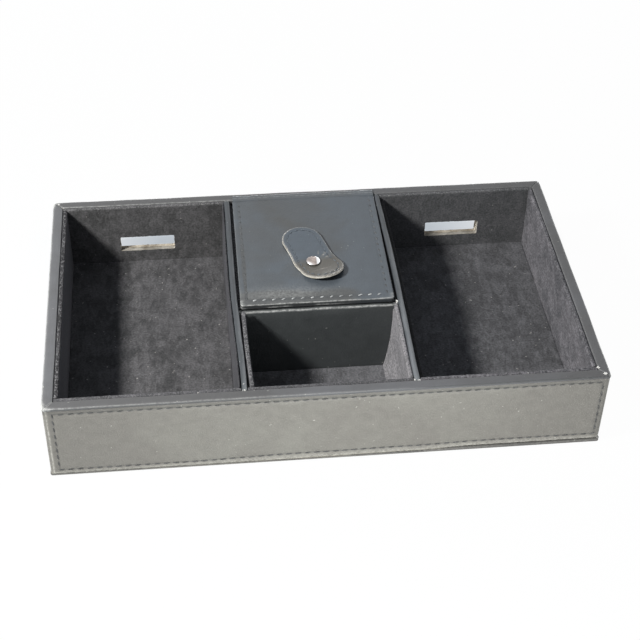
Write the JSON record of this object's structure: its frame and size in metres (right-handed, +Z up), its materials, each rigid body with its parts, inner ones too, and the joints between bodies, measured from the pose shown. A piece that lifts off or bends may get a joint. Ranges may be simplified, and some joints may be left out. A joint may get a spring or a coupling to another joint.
{
  "type": "desk organizer tray",
  "caption": "Low rectangular leather-covered desk tray with velvet-lined open bays, cable slots at the rear, and a lidded middle bay whose lid has a swivelling pull tab.",
  "frame": {"origin": "middle of the underside, on the surface that the tray stands on", "axes": "+X along the tray's length towards the right bay, +Y from the stitched front towards the back wall with the cable slots, +Z up out of the bays"},
  "size_m": [0.3422, 0.2038, 0.0625],
  "materials": {
    "grey_leather": "satin coated, fine grain",
    "charcoal_velvet": "short matt pile",
    "raw_fibreboard": "raw sawn fibreboard",
    "grey_card": "plain grey board",
    "nickel_rivet": "polished nickel plate"
  },
  "bodies": {
    "tray": {"base_cover": "grey_leather", "base_board": "grey_card", "floor_board": "raw_fibreboard", "front_wall_board": "raw_fibreboard", "back_wall_board": "raw_fibreboard", "left_wall_board": "raw_fibreboard", "right_wall_board": "raw_fibreboard", "front_rim": "grey_leather", "back_rim": "grey_leather", "left_rim": "grey_leather", "right_rim": "grey_leather", "front_panel": "grey_leather", "back_panel": "grey_leather", "left_panel": "grey_leather", "right_panel": "grey_leather", "left_divider_board": "grey_card", "right_divider_board": "grey_card", "left_divider_wrap": "grey_leather", "right_divider_wrap": "grey_leather", "cross_divider_board": "grey_card", "cross_divider_wrap": "grey_leather", "left_bay_front_lining": "charcoal_velvet", "left_bay_back_lining": "charcoal_velvet", "left_bay_left_lining": "charcoal_velvet", "left_bay_right_lining": "charcoal_velvet", "left_bay_floor_lining": "charcoal_velvet", "right_bay_front_lining": "charcoal_velvet", "right_bay_back_lining": "charcoal_velvet", "right_bay_left_lining": "charcoal_velvet", "right_bay_right_lining": "charcoal_velvet", "right_bay_floor_lining": "charcoal_velvet", "coin_bay_front_lining": "charcoal_velvet", "coin_bay_left_lining": "charcoal_velvet", "coin_bay_right_lining": "charcoal_velvet", "coin_bay_floor_lining": "charcoal_velvet", "lidded_bay_front_lining": "charcoal_velvet", "lidded_bay_back_lining": "charcoal_velvet", "lidded_bay_left_lining": "charcoal_velvet", "lidded_bay_right_lining": "charcoal_velvet", "lidded_bay_floor_lining": "charcoal_velvet", "hinge_strap": "grey_leather"},
    "lid": {"lid_board": "grey_card", "lid_cover": "grey_leather", "lid_lining": "charcoal_velvet", "rivet_cap": "nickel_rivet", "rivet_post": "nickel_rivet"},
    "tab": {"pull_tab": "grey_leather"}
  },
  "joints": [
    {"name": "lid_hinge", "type": "hinge", "parent": "tray", "child": "lid", "pos_m": [0, 0.0948, 0.05742], "axis": [-1, 0, 0], "range_deg": [0, 180]},
    {"name": "tab_swivel", "type": "hinge", "parent": "lid", "child": "tab", "pos_m": [0.0012, 0.01955, 0.05755], "axis": [0, 0, 1], "continuous": true}
  ]
}
